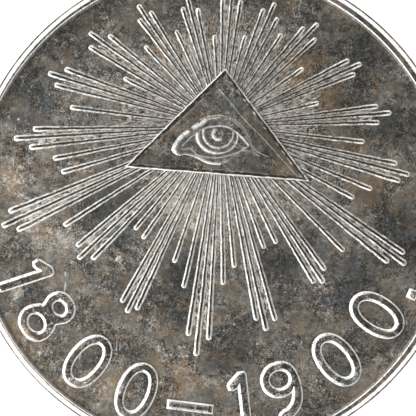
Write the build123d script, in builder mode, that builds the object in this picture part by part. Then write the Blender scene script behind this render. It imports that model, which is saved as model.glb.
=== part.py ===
from build123d import *
from math import cos, radians, sin, sqrt
import os

# A struck commemorative medal that lies on its back: its face looks up +Z and its top points to +Y.
# The origin is on the surface that it rests on, under the middle of its length. Sizes are in millimetres.

# Disc
disc_diameter = 28.0
disc_thickness = 2.2
rim_width = 0.5
rim_height = 0.3
back_rim_width = 0.8
back_rim_height = 0.2
rim_slope = 0.1
edge_round = 0.2

# Eyelet
eyelet_diameter = 5.0
eyelet_hole = 2.6
eyelet_dip = 0.5
eyelet_inset = 0.3
eyelet_round = 0.35
hole_round = 0.15

# Glory of rays. A ray is a bar that widens from the centre to its rounded tip, and its flat crest keeps
# a share of its width.
glory_rise = 4.68
longest_ray = 13.6
longest_ray_width = 0.44
ray_height = 0.12
ray_crest = 0.6
rim_clearance = 0.3

# Triangle
triangle_base = 10.57
triangle_height = 6.05
triangle_drop = 2.76
panel_height = 0.13
border_width = 0.3
border_height = 0.09
border_slope = 0.08

# Eye
eye_width = 5.3
eye_height = 2.74
eye_drop = 0.74
lid_height = 0.15
eyeball_height = 0.04
iris_diameter = 2.0
iris_ring_width = 0.16
inner_ring_diameter = 1.54
iris_rise = 0.2
iris_shift = -0.12
iris_height = 0.11
pupil_diameter = 0.66

# Numerals
numeral_height = 3.4
numeral_width = 2.2
stroke_width = 0.5
stroke_round = 0.12
numeral_relief = 0.16
flag_width = 0.95
flag_drop = 0.5
flag_thickness = 0.3
upper_loop_share = 0.47
upper_loop_inset = 0.25
nine_loop_height = 2.05
tail_reach = 0.45
dash_length = 2.7
stop_size = 0.58
first_year_gap = 0.5
second_year_gap = 0.75
dash_gap = 1.9
stop_gap = 0.95

# Beams of three rays: the middle ray's direction, the turn from it to the ray on either side, in degrees
# anticlockwise from +X, and how far the three rays reach, as shares of the longest ray.
# direction, turn to right, turn to left, right reach, middle reach, left reach
BEAMS = (
    (8.9, 3.1, 2.7, 0.66, 0.71, 0.66),
    (28.5, 2.8, 3.2, 0.60, 0.64, 0.60),
    (51.0, 4.0, 3.2, 0.54, 0.59, 0.54),
    (70.6, 3.9, 3.7, 0.51, 0.56, 0.52),
    (89.4, 4.1, 4.0, 0.53, 0.58, 0.53),
    (108.9, 3.4, 3.3, 0.50, 0.56, 0.52),
    (128.7, 2.9, 3.0, 0.56, 0.61, 0.56),
    (148.9, 3.6, 4.3, 0.60, 0.67, 0.64),
    (167.3, 3.1, 3.1, 0.69, 0.75, 0.71),
    (187.8, 2.5, 2.9, 0.78, 0.86, 0.80),
    (209.0, 2.6, 2.5, 0.95, 1.00, 0.95),
    (227.3, 3.1, 3.1, 0.78, 0.81, 0.77),
    (247.6, 2.6, 2.2, 0.84, 0.87, 0.84),
    (268.3, 2.7, 2.9, 0.88, 0.96, 0.89),
    (287.0, 2.1, 3.1, 0.82, 0.87, 0.84),
    (307.7, 2.4, 2.7, 0.76, 0.78, 0.74),
    (327.6, 2.3, 2.1, 0.90, 0.96, 0.93),
    (350.0, 2.6, 2.3, 0.78, 0.81, 0.75),
)

# Single rays between the beams: direction in degrees, reach as a share of the longest ray.
SINGLES = (
    (17.8, 0.42),
    (39.5, 0.42),
    (60.8, 0.46),
    (79.2, 0.39),
    (98.3, 0.38),
    (119.4, 0.44),
    (137.9, 0.46),
    (157.9, 0.45),
    (177.2, 0.63),
    (195.3, 0.71),
    (200.6, 0.69),
    (216.8, 0.77),
    (234.7, 0.56),
    (239.7, 0.57),
    (255.5, 0.60),
    (261.5, 0.69),
    (275.4, 0.66),
    (280.0, 0.59),
    (294.0, 0.54),
    (299.9, 0.54),
    (319.0, 0.73),
    (336.1, 0.63),
    (341.7, 0.68),
    (358.2, 0.60),
)

# Outlines of the eye, from its middle: across as a share of its width, up as a share of its height.
BROW = ((-0.50, -0.34), (-0.37, 0.18), (-0.18, 0.44), (0.01, 0.50), (0.20, 0.34), (0.38, -0.06), (0.50, -0.27))
CHEEK = ((0.50, -0.31), (0.40, -0.33), (0.20, -0.40), (0.0, -0.50), (-0.19, -0.45), (-0.34, -0.36), (-0.50, -0.36))
UPPER_LID = ((-0.38, -0.26), (-0.20, 0.14), (0.01, 0.27), (0.16, 0.17), (0.29, -0.14))
LOWER_LID = ((0.29, -0.16), (0.18, -0.27), (0.0, -0.37), (-0.15, -0.35), (-0.27, -0.24), (-0.38, -0.28))

# The arc of numerals: character, direction in degrees, gap between its foot and the rim.
NUMERALS = (
    ("1", 203.6, first_year_gap),
    ("8", 217.0, first_year_gap),
    ("0", 234.6, first_year_gap),
    ("0", 251.2, first_year_gap),
    ("-", 267.4, dash_gap),
    ("1", 280.8, second_year_gap),
    ("9", 295.2, second_year_gap),
    ("0", 313.4, second_year_gap),
    ("0", 331.2, second_year_gap),
    (".", 341.0, stop_gap),
)

# Places that follow from the sizes
disc_radius = disc_diameter / 2
eyelet_wall = (eyelet_diameter - eyelet_hole) / 2
eyelet_up = disc_radius - eyelet_dip + eyelet_diameter / 2
disc_y = -(eyelet_up + eyelet_diameter / 2 - disc_radius) / 2
face_z = disc_thickness - rim_height
panel_z = face_z + panel_height
rim_foot = disc_radius - rim_width - rim_slope
ray_flare = longest_ray_width / 2 / longest_ray


def face_plane(height, up=0.0):
    """The level plane at a height over the table, about the disc's middle or a point up its face."""
    return Plane((0, disc_y + up, height))


def triangle_edge(direction):
    """How far the triangle's outline is from the middle of the glory, in one direction."""
    across = cos(radians(direction))
    up = sin(radians(direction))
    slant = abs(across) * triangle_height + up * triangle_base / 2
    edges = [(triangle_height - triangle_drop) * triangle_base / 2 / slant] if slant > 0 else []
    edges += [-triangle_drop / up] if up < 0 else []
    return min(edges)


def ray_tip(direction, reach):
    """How far a ray runs from the middle of the glory: its own reach, or less where the rim is nearer."""
    field = rim_foot - rim_clearance
    across = glory_rise * cos(radians(direction))
    up = glory_rise * sin(radians(direction))
    return min(reach * longest_ray, sqrt(field**2 - across**2) - up)


def ray(direction, reach):
    """One ray, from under the triangle's border to a rounded tip, with sides that lean in to its crest."""
    root = triangle_edge(direction) - border_width / 2
    tip = ray_tip(direction, reach)
    turn = tip / (1 + ray_flare)
    base = face_plane(face_z, glory_rise).rotated((0, 0, direction))
    with BuildPart() as bar:
        for height, share in ((0, 1), (ray_height, ray_crest)):
            root_half = root * ray_flare * share
            turn_half = turn * ray_flare * share
            with BuildSketch(base.offset(height)):
                with BuildLine():
                    side = Line((root, root_half), (turn, turn_half))
                    end = ThreePointArc(side @ 1, (turn + turn_half, 0), (turn, -turn_half))
                    Polyline(end @ 1, (root, -root_half), side @ 0)
                make_face()
        loft(ruled=True)
    return bar.part


def eye_outline(upper, lower):
    """The face between two curves that are given as shares of the eye's width and height."""
    over = [(across * eye_width, up * eye_height) for across, up in upper]
    under = [(across * eye_width, up * eye_height) for across, up in lower]
    with BuildSketch() as outline:
        with BuildLine():
            Spline(*over)
            Line(over[-1], under[0])
            Spline(*under)
            Line(under[-1], over[0])
        make_face()
    return outline.sketch


def loop(width, height, middle):
    """An oval ring one stroke wide, with its middle at a height over the numeral's own."""
    with BuildSketch() as ring:
        with Locations((0, middle)):
            Ellipse(width / 2, height / 2)
            Ellipse(width / 2 - stroke_width, height / 2 - stroke_width, mode=Mode.SUBTRACT)
    return ring.sketch


def one():
    """A plain 1: an upright stem with a short flag that slopes down to the left."""
    top = numeral_height / 2
    with BuildSketch() as figure:
        with Locations((flag_width / 2, 0)):
            RectangleRounded(stroke_width, numeral_height, stroke_round)
        Polygon(
            (flag_width / 2 - stroke_width / 2, top - stroke_round),
            (flag_width / 2, top - stroke_round),
            (flag_width / 2, top - stroke_width),
            (-flag_width / 2, top - flag_drop - flag_thickness),
            (-flag_width / 2, top - flag_drop),
            align=None,
        )
    return figure.sketch


def eight():
    """A plain 8: a smaller loop over a larger one, which share the stroke between them."""
    upper = (numeral_height + stroke_width) * upper_loop_share
    lower = numeral_height + stroke_width - upper
    with BuildSketch() as figure:
        add(loop(numeral_width - upper_loop_inset, upper, (numeral_height - upper) / 2))
        add(loop(numeral_width, lower, (lower - numeral_height) / 2))
    return figure.sketch


def nine():
    """A plain 9: a loop with a tail that sweeps down from its right side to the lower left."""
    height = nine_loop_height
    side = (numeral_width - stroke_width) / 2
    foot = (stroke_width - numeral_height) / 2
    with BuildSketch() as figure:
        add(loop(numeral_width, height, (numeral_height - height) / 2))
        with BuildLine():
            tail = TangentArc((side, (numeral_height - height) / 2), (-tail_reach, foot), tangent=(0, -1))
        trace(line_width=stroke_width)
        with Locations(tail @ 1):
            Circle(stroke_width / 2)
    return figure.sketch


def zero():
    """A plain 0: one tall loop."""
    return loop(numeral_width, numeral_height, 0)


def dash():
    """A level bar with rounded corners."""
    with BuildSketch() as figure:
        RectangleRounded(dash_length, stroke_width, stroke_round)
    return figure.sketch


def stop():
    """A square full stop with rounded corners."""
    with BuildSketch() as figure:
        RectangleRounded(stop_size, stop_size, stroke_round)
    return figure.sketch


# Each character: its outline and its height
CHARACTERS = {
    "0": (zero(), numeral_height),
    "1": (one(), numeral_height),
    "8": (eight(), numeral_height),
    "9": (nine(), numeral_height),
    "-": (dash(), stroke_width),
    ".": (stop(), stop_size),
}

with BuildPart() as disc:
    with BuildSketch(Plane((0, disc_y, 0), x_dir=(1, 0, 0), z_dir=(0, -1, 0))):
        with BuildLine():
            back = Polyline(
                (0, back_rim_height),
                (disc_radius - back_rim_width - rim_slope, back_rim_height),
                (disc_radius - back_rim_width, 0),
                (disc_radius - edge_round, 0),
            )
            back_turn = RadiusArc(back @ 1, (disc_radius, edge_round), -edge_round)
            wall = Line(back_turn @ 1, (disc_radius, disc_thickness - edge_round))
            face_turn = RadiusArc(wall @ 1, (disc_radius - edge_round, disc_thickness), -edge_round)
            Polyline(
                face_turn @ 1,
                (disc_radius - rim_width, disc_thickness),
                (rim_foot, face_z),
                (0, face_z),
                (0, back_rim_height),
            )
        make_face()
    revolve(axis=Axis((0, disc_y, 0), (0, 0, 1)))

with BuildPart() as eyelet:
    with BuildSketch(face_plane(eyelet_inset, eyelet_up)):
        Circle(eyelet_diameter / 2)
        Circle(eyelet_hole / 2, mode=Mode.SUBTRACT)
    extrude(amount=disc_thickness - 2 * eyelet_inset)
    turns = eyelet.edges().filter_by(GeomType.CIRCLE).group_by(SortBy.RADIUS)
    fillet(turns[-1], min(eyelet_round, eyelet_wall / 2))
    fillet(turns[0], min(hole_round, eyelet_wall / 4))

charted = list(SINGLES)
for direction, to_right, to_left, right, middle, left in BEAMS:
    charted += [(direction - to_right, right), (direction, middle), (direction + to_left, left)]
rays = [ray(direction, reach) for direction, reach in charted]

with BuildPart() as triangle:
    with BuildSketch(face_plane(face_z, glory_rise)) as plate:
        Polygon(
            (-triangle_base / 2, -triangle_drop),
            (triangle_base / 2, -triangle_drop),
            (0, triangle_height - triangle_drop),
            align=None,
        )
    extrude(amount=panel_height + border_height)
    with BuildSketch(face_plane(panel_z, glory_rise)):
        add(plate.sketch_local)
        offset(amount=-border_width, kind=Kind.INTERSECTION, mode=Mode.REPLACE)
    extrude(amount=border_height, mode=Mode.SUBTRACT)
    chamfer(triangle.faces().sort_by(Axis.Z)[-1].edges(), border_slope)

opening = eye_outline(UPPER_LID, LOWER_LID)
with BuildPart() as eye:
    with BuildSketch(face_plane(panel_z, glory_rise - eye_drop)):
        add(eye_outline(BROW, CHEEK))
        add(opening, mode=Mode.SUBTRACT)
    extrude(amount=lid_height)
    with BuildSketch(face_plane(panel_z, glory_rise - eye_drop)):
        add(opening)
    extrude(amount=eyeball_height)
    with BuildSketch(face_plane(panel_z, glory_rise - eye_drop)):
        with Locations((iris_shift, iris_rise)):
            Circle(iris_diameter / 2)
            Circle(iris_diameter / 2 - iris_ring_width, mode=Mode.SUBTRACT)
            Circle(inner_ring_diameter / 2)
            Circle(inner_ring_diameter / 2 - iris_ring_width, mode=Mode.SUBTRACT)
            Circle(pupil_diameter / 2)
        add(opening, mode=Mode.INTERSECT)
    extrude(amount=iris_height)

with BuildPart() as numerals:
    with BuildSketch(face_plane(face_z)):
        for character, direction, gap in NUMERALS:
            outline, height = CHARACTERS[character]
            radius = rim_foot - gap - height / 2
            place = (radius * cos(radians(direction)), radius * sin(radians(direction)))
            with Locations(Location(place, direction + 90)):
                add(outline)
    extrude(amount=numeral_relief)

with BuildPart() as medal:
    add(disc.part)
    add([eyelet.part, triangle.part, eye.part, numerals.part] + rays)

medal.part.label = "medal"
os.makedirs("parts", exist_ok=True)
export_step(medal.part, "parts/medal.step")
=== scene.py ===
import math

import bmesh
import bpy
import numpy as np
from bpy.props import FloatProperty, FloatVectorProperty, IntProperty, PointerProperty
from mathutils import Matrix, Vector, noise


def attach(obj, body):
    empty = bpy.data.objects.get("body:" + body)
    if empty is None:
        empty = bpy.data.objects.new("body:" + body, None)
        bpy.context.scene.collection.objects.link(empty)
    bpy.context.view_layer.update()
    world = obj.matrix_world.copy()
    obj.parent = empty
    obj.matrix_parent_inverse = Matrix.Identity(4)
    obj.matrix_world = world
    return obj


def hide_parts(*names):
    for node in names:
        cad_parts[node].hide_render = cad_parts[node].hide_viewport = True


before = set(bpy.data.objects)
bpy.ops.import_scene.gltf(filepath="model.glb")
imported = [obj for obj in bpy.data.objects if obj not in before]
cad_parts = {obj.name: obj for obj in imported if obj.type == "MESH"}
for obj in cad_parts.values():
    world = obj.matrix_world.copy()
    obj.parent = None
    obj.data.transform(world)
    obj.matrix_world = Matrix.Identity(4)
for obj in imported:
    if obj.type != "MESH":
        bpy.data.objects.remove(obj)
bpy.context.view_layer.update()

bl_info = {
    "name": "Struck medal with an eye in a triangle",
    "version": (1, 0, 0),
    "blender": (4, 5, 0),
    "location": "3D View > Sidebar > Medal",
    "description": "Models a struck silver medal with a glory of rays and lays it on a pale floor",
    "category": "Add Mesh",
}

MM = 0.001
MICRON = 0.000001

# The wobble of hand-cut lines starts from this number, so it is the same each time.
WOBBLE_SEED = 7

# Beams of three rays: the middle ray's direction, the turn from it to the ray on either side, in degrees
# anticlockwise from +X, and how far the right, middle and left rays reach, as shares of the longest ray.
BEAMS = (
    (8.9, 3.1, 2.7, 0.66, 0.71, 0.66),
    (28.5, 2.8, 3.2, 0.60, 0.64, 0.60),
    (51.0, 4.0, 3.2, 0.54, 0.59, 0.54),
    (70.6, 3.9, 3.7, 0.51, 0.56, 0.52),
    (89.4, 4.1, 4.0, 0.53, 0.58, 0.53),
    (108.9, 3.4, 3.3, 0.50, 0.56, 0.52),
    (128.7, 2.9, 3.0, 0.56, 0.61, 0.56),
    (148.9, 3.6, 4.3, 0.60, 0.67, 0.64),
    (167.3, 3.1, 3.1, 0.69, 0.75, 0.71),
    (187.8, 2.5, 2.9, 0.78, 0.86, 0.80),
    (209.0, 2.6, 2.5, 0.95, 1.00, 0.95),
    (227.3, 3.1, 3.1, 0.78, 0.81, 0.77),
    (247.6, 2.6, 2.2, 0.84, 0.87, 0.84),
    (268.3, 2.7, 2.9, 0.88, 0.96, 0.89),
    (287.0, 2.1, 3.1, 0.82, 0.87, 0.84),
    (307.7, 2.4, 2.7, 0.76, 0.78, 0.74),
    (327.6, 2.3, 2.1, 0.90, 0.96, 0.93),
    (350.0, 2.6, 2.3, 0.78, 0.81, 0.75),
)

# Single rays between the beams: direction in degrees, reach as a share of the longest ray.
SINGLES = (
    (17.8, 0.42),
    (39.5, 0.42),
    (60.8, 0.46),
    (79.2, 0.39),
    (98.3, 0.38),
    (119.4, 0.44),
    (137.9, 0.46),
    (157.9, 0.45),
    (177.2, 0.63),
    (195.3, 0.71),
    (200.6, 0.69),
    (216.8, 0.77),
    (234.7, 0.56),
    (239.7, 0.57),
    (255.5, 0.60),
    (261.5, 0.69),
    (275.4, 0.66),
    (280.0, 0.59),
    (294.0, 0.54),
    (299.9, 0.54),
    (319.0, 0.73),
    (336.1, 0.63),
    (341.7, 0.68),
    (358.2, 0.60),
)

# The arc of numerals: character, direction in degrees, and how far its middle is from the disc's middle
# in millimetres.
NUMERALS = (
    ("1", 202.5, 11.36),
    ("8", 217.0, 11.2),
    ("0", 234.6, 11.2),
    ("0", 251.2, 11.2),
    ("-", 267.4, 11.25),
    ("1", 280.8, 10.95),
    ("9", 295.2, 10.95),
    ("0", 313.4, 10.95),
    ("0", 331.2, 10.95),
    (".", 341.0, 12.16),
)

# The rim's outline from the outside in: distance from the disc's middle, and depth under the rim's top.
RIM = (
    (13.995, 0.46),
    (13.99, 0.36),
    (13.975, 0.28),
    (13.955, 0.245),
    (13.94, 0.235),
    (13.89, 0.21),
    (13.845, 0.185),
    (13.83, 0.175),
    (13.8, 0.14),
    (13.75, 0.1),
    (13.68, 0.045),
    (13.62, 0.014),
    (13.57, 0.0),
    (13.46, 0.0),
    (13.44, 0.008),
    (13.42, 0.022),
    (13.4, 0.04),
    (13.385, 0.08),
    (13.375, 0.16),
    (13.36, 0.26),
    (13.34, 0.3),
)

# Two bands round the disc: the dull line on the rim, and the rim's inner edge that is off the middle. Each
# starts, is full, is still full and ends at these distances from the disc's middle.
RIM_LINE = (13.83, 13.845, 13.94, 13.955)
RIM_INNER_EDGE = (12.5, 13.3, 13.46, 13.57)

# Fine lines on the triangle's panel, in millimetres from the disc's middle.
PANEL_LINES = (
    ((-0.4, 6.9), (0.35, 6.15), (1.25, 5.2), (2.45, 4.15), (3.7, 2.98), (4.68, 2.06)),
    ((-4.55, 2.2), (-2.0, 2.16), (0.5, 2.2), (2.6, 2.18)),
    ((-4.5, 2.45), (-3.2, 3.85), (-1.6, 5.6), (-0.7, 6.6)),
)

# Lines of the eye in millimetres from the disc's middle: the outline of the raised part, over and under
# it, two creases over the lid, the two lids, and the fold under the lower one.
BROW = (
    (-2.78, 3.08), (-2.74, 3.4), (-2.55, 3.8), (-2.25, 4.15), (-1.85, 4.5), (-1.5, 4.8), (-1.1, 5.08),
    (-0.7, 5.22), (-0.19, 5.33), (0.4, 5.27), (0.95, 5.05), (1.42, 4.66), (1.76, 4.1), (2.07, 3.6),
    (2.4, 3.38), (2.86, 3.2),
)
CHEEK = (
    (2.86, 3.2), (2.82, 3.04), (2.2, 3.0), (1.7, 3.08), (1.1, 2.85), (0.8, 2.68), (0.5, 2.56), (0.15, 2.44),
    (-0.2, 2.41), (-0.7, 2.48), (-1.12, 2.66), (-1.55, 2.8), (-1.9, 2.86), (-2.12, 2.77), (-2.48, 2.85),
    (-2.78, 3.08),
)
CREASE = (
    (-1.22, 4.94), (-0.74, 5.15), (-0.19, 5.27), (0.39, 5.2), (0.9, 5.0), (1.35, 4.61), (1.68, 4.07),
    (2.0, 3.53), (2.37, 3.31), (2.81, 3.16),
)
SECOND_CREASE = (
    (0.46, 5.12), (0.88, 4.87), (1.22, 4.57), (1.56, 4.1), (1.82, 3.62), (2.09, 3.25), (2.67, 3.08),
)
UPPER_LID = (
    (-2.02, 3.43), (-1.57, 3.96), (-0.97, 4.43), (-0.35, 4.62), (0.22, 4.66), (0.72, 4.49), (1.25, 4.1),
    (1.63, 3.71),
)
LOWER_LID = (
    (1.63, 3.71), (1.5, 3.56), (1.03, 3.24), (0.48, 3.02), (-0.07, 2.87), (-0.64, 2.86), (-1.14, 2.94),
    (-1.44, 3.16), (-1.66, 3.28), (-1.94, 3.22), (-2.08, 3.24), (-2.02, 3.43),
)
UNDER_LID = (
    (-2.48, 2.9), (-2.12, 2.83), (-1.91, 2.91), (-1.56, 2.86), (-1.12, 2.72), (-0.68, 2.54), (-0.18, 2.48),
    (0.17, 2.5), (0.51, 2.63),
)

# The grid that the eye is raised from: its lower left and its upper right corner.
EYE_GRID = ((-2.9, 2.3), (3.0, 5.5))

# Rings of the eye: where the middle is across and up from the disc's, and the radius, in millimetres.
IRIS = (-0.13, 4.1, 0.97)
INNER_IRIS = (-0.1, 4.28, 0.85)
PUPIL = (-0.09, 4.2, 0.3)

# Painted highlights on the eye, chiefly on its slopes that face the light on the left: the width in
# millimetres, how bright, and the line.
EYE_LIGHTS = (
    (0.13, 0.8, ((-1.5, 4.5), (-1.2, 4.69), (-0.9, 4.95))),
    (0.13, 0.85, ((-1.85, 4.2), (-2.2, 3.91), (-2.44, 3.54), (-2.6, 3.17), (-2.42, 2.95))),
    (0.07, 0.8, ((-1.12, 2.74), (-0.68, 2.58), (-0.18, 2.52), (0.15, 2.54))),
)

# Small burrs and scratches in millimetres from the disc's middle: across, up, length and width, and then
# the direction in degrees.
DINGS = (
    (6.5, -9.2, 0.12, 0.12, 0.0),
    (-8.05, -5.1, 0.75, 0.09, 84.0),
    (-8.1, -4.3, 0.3, 0.12, 95.0),
    (-5.2, -3.2, 0.4, 0.16, 50.0),
    (-4.9, -8.1, 0.6, 0.07, 92.0),
    (-4.7, -8.2, 0.4, 0.07, 88.0),
    (-6.9, -8.9, 0.3, 0.1, 70.0),
    (-11.4, 4.2, 0.15, 0.12, 0.0),
    (-11.5, 1.8, 0.7, 0.07, 95.0),
    (-3.4, 9.4, 0.2, 0.1, 30.0),
    (9.5, 3.1, 0.16, 0.1, 60.0),
    (8.6, -7.3, 0.3, 0.06, 140.0),
    (3.0, -7.4, 0.14, 0.1, 20.0),
    (-9.2, 7.6, 0.18, 0.1, 120.0),
    (-0.9, -8.4, 0.16, 0.1, 0.0),
    (1.6, -6.4, 0.12, 0.1, 0.0),
    (-7.4, 0.6, 0.25, 0.12, 20.0),
)

# How dark the rays are kept on average, by their direction in degrees: least towards the lower left and the
# bottom.
RAY_DARKENING = (
    (0, 0.47),
    (45, 0.5),
    (90, 0.42),
    (135, 0.38),
    (180, 0.46),
    (225, 0.17),
    (270, 0.18),
    (315, 0.37),
)

# Large patches in millimetres from the disc's middle: across, up, radius, then how much paler or, below
# nothing,
# darker the patch is, and how much browner or, below nothing, bluer. They are tarnish, and partly painted
# light:
# paler to the lower left, where the side light falls, and darker to the right.
PATCHES = (
    (-10.4, 6.0, 1.5, -0.35, -0.4),
    (-11.0, 3.9, 0.9, -0.2, -0.3),
    (-7.3, 4.9, 0.8, -0.15, -0.5),
    (4.2, 8.1, 1.0, 0.15, 1.5),
    (6.3, 6.4, 1.0, -0.1, 1.0),
    (7.5, 4.4, 1.0, -0.2, 0.8),
    (8.9, 1.9, 1.1, 0.05, 0.9),
    (9.8, 5.8, 1.2, -0.35, -0.3),
    (7.6, 9.3, 1.4, -0.3, -0.3),
    (3.9, -3.1, 1.1, -0.6, -0.4),
    (5.3, -1.6, 0.8, -0.4, -0.4),
    (7.8, -3.7, 1.5, -0.3, -0.5),
    (-1.4, -3.8, 1.2, -0.4, -0.3),
    (-5.3, -1.9, 0.9, -0.2, -0.6),
    (-11.4, 1.0, 1.0, 0.5, 0.5),
    (-9.8, -2.1, 1.2, 0.55, 0.2),
    (-7.9, -2.4, 0.9, 0.45, 0.2),
    (-2.6, -7.5, 0.9, 0.5, 0.2),
    (-5.4, -10.4, 1.4, 0.35, 0.3),
    (-1.3, -9.5, 1.3, 0.3, 0.6),
    (1.5, -7.9, 1.2, -0.5, 0.1),
    (-10.9, -7.7, 1.0, 0.3, 0.7),
    (-9.6, -9.0, 1.0, 0.35, 0.6),
    (-7.8, -10.7, 1.0, 0.3, 0.4),
    (10.5, 0.2, 1.1, -0.3, 0.0),
    (10.8, -1.8, 1.0, -0.35, 0.1),
    (-0.2, -0.1, 2.0, 0.6, 0.0),
    (10.1, -1.0, 1.2, -0.35, -0.2),
    (-1.9, 8.1, 1.0, 0.4, 0.0),
    (3.2, 5.7, 0.9, 0.3, 0.1),
    (-2.6, 0.6, 1.2, 0.35, 0.0),
    (2.4, 0.2, 1.3, 0.35, 0.0),
    (-6.2, -0.4, 0.7, -0.3, -0.4),
    (-10.8, -5.6, 0.4, 1.3, -0.2),
    (-5.2, -3.2, 0.3, 0.5, 0.3),
    (-3.3, 3.0, 0.5, 0.45, 0.0),
    (0.2, 6.2, 0.7, -0.2, -0.6),
    (2.55, 3.2, 0.2, -0.6, -0.8),
    (2.6, 4.2, 0.4, 0.1, 0.9),
    (3.4, 2.6, 0.6, 0.2, 0.7),
    (-2.6, 4.3, 0.4, 0.0, 0.7),
)

# Most of what soft noise gives is between these.
CLOUD_RANGE = (0.34, 0.66)


def length(name, description, millimetres):
    """A size in metres that is given in millimetres."""
    return FloatProperty(
        name=name,
        description=description,
        default=millimetres * MM,
        subtype="DISTANCE",
        unit="LENGTH",
        precision=5,
    )


def share(name, description, value):
    """A number from nothing to all of something."""
    return FloatProperty(
        name=name, description=description, default=value, min=0.0, max=1.0, subtype="FACTOR"
    )


def number(name, description, value):
    """A plain number with no unit."""
    return FloatProperty(name=name, description=description, default=value)


def degrees(name, description, value):
    """An angle that is given in degrees."""
    return FloatProperty(name=name, description=description, default=math.radians(value), subtype="ANGLE")


def colour(name, description, value):
    """A colour in linear light."""
    return FloatVectorProperty(
        name=name, description=description, default=value, size=3, min=0.0, max=1.0, subtype="COLOR"
    )


class MedalDisc(bpy.types.PropertyGroup):
    """Sizes of the disc and its eyelet."""

    diameter: length("Diameter", "Across the disc", 28.0)
    thickness: length("Thickness", "Over both rims", 2.2)
    middle_y: length("Middle", "Where the disc's middle lies along Y", -2.25)
    skin: length("Skin", "How far the shaped eyelet stays inside its plain size", 0.005)
    rim_foot: length("Rim's foot", "From the disc's middle to the foot of the rim", 13.4)
    rim_shift: length("Rim's shift", "How far the rim's inner edge is off the disc's middle", 0.11)
    rim_shift_way: degrees("Shift's direction", "Which way the rim's inner edge is off the middle", 203.0)
    rim_height: length("Rim height", "From the field to the top of the rim", 0.3)
    back_rim_width: length("Back rim width", "Width of the rim on the back", 0.8)
    back_rim_height: length("Back rim height", "Height of the rim on the back", 0.2)
    segments: IntProperty(name="Segments", description="Faces round the disc", default=320, min=32)
    rings: IntProperty(name="Rings", description="Rings of faces across the field", default=88, min=2)
    wave: length("Wave", "How far the field rises and falls", 0.012)
    eyelet_diameter: length("Eyelet diameter", "Across the eyelet", 5.0)
    eyelet_hole: length("Eyelet hole", "Across the eyelet's hole", 2.6)
    eyelet_y: length("Eyelet place", "Where the eyelet's middle lies along Y", 13.75)
    eyelet_inset: length("Eyelet inset", "How far the eyelet stands in from the disc's two sides", 0.3)
    eyelet_round: length("Eyelet rounding", "Radius of the eyelet's outer edges", 0.35)


class MedalGlory(bpy.types.PropertyGroup):
    """Sizes of the rays and of the ground between them."""

    rise: length("Rise", "How far the middle of the glory is above the disc's middle", 4.68)
    longest: length("Longest ray", "From the middle of the glory to the tip of its longest ray", 13.6)
    width: length("Ray width", "Width of the longest ray at its tip", 0.37)
    root_width: share("Root width", "Width of a ray at its root, as a share of its width at its tip", 0.5)
    height: length("Ray height", "How far the longest ray stands over the field", 0.08)
    crest: share("Crest", "Share of a ray's width that is its flat crest", 0.42)
    tip_slope: length("Tip slope", "Length of the slope at the longest ray's tip", 0.34)
    full_from: share("Full height from", "Where a ray gets its full height, as a share of its reach", 0.7)
    root: share("Root", "Where a ray starts, as a share of its reach", 0.14)
    clearance: length("Clearance", "Room between a ray's tip and the rim's foot", 0.3)
    cuts: IntProperty(name="Cuts", description="Cuts along a ray", default=64, min=1)
    wobble: length("Wobble", "How far the engraver's hand strays from a straight ray", 0.02)
    least_taper: share("Least taper", "How much narrower than the longest a ray of no length would be", 0.45)
    bed_height: length("Bed height", "How far the ground between a beam's rays rises", 0.014)
    hairs: IntProperty(name="Hair lines", description="Fine lines between the rays", default=150, min=1)
    hair_width: length("Hair width", "Width of a fine line", 0.08)
    hair_height: length("Hair height", "Height of a fine line", 0.022)
    bed_reach: share("Bed reach", "How far a bed goes along the shorter of its two rays", 0.95)


class MedalTriangle(bpy.types.PropertyGroup):
    """Sizes of the triangle."""

    base: length("Base", "Length of its lower side", 10.57)
    height: length("Height", "From its lower side to its top corner", 6.05)
    drop: length("Drop", "From the middle of the glory down to its lower side", 2.76)
    panel_height: length("Panel height", "How far the panel stands over the field", 0.13)
    border_rise: length("Border rise", "How far the border stands over the panel", 0.09)
    outer_wall: length("Outer wall", "Width of the steep foot of the border's outer side", 0.04)
    outer_slope: length("Outer slope", "Width of the bright slope over it", 0.06)
    border_top: length("Border top", "Width of the border's flat top", 0.1)
    inner_slope: length("Inner slope", "Width of the border's inner slope", 0.06)
    cuts: IntProperty(name="Cuts", description="Cuts along each side", default=100, min=1)
    wobble: length("Wobble", "How far the engraver's hand strays from a straight side", 0.03)


class MedalEye(bpy.types.PropertyGroup):
    """Sizes of the eye's relief."""

    lid_height: length("Lid height", "How far the lids stand over the panel", 0.1)
    white_height: length("White height", "How far the white of the eye stands over the panel", 0.03)
    ring_height: length("Ring height", "How far the iris rings stand over the white of the eye", 0.035)
    cell: length("Cell", "Size of the faces of the relief", 0.024)


class MedalNumerals(bpy.types.PropertyGroup):
    """Sizes of the numerals."""

    relief: length("Relief", "How far the numerals stand over the field", 0.13)
    slope: length("Slope", "Width of the slope along each stroke", 0.205)


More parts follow.
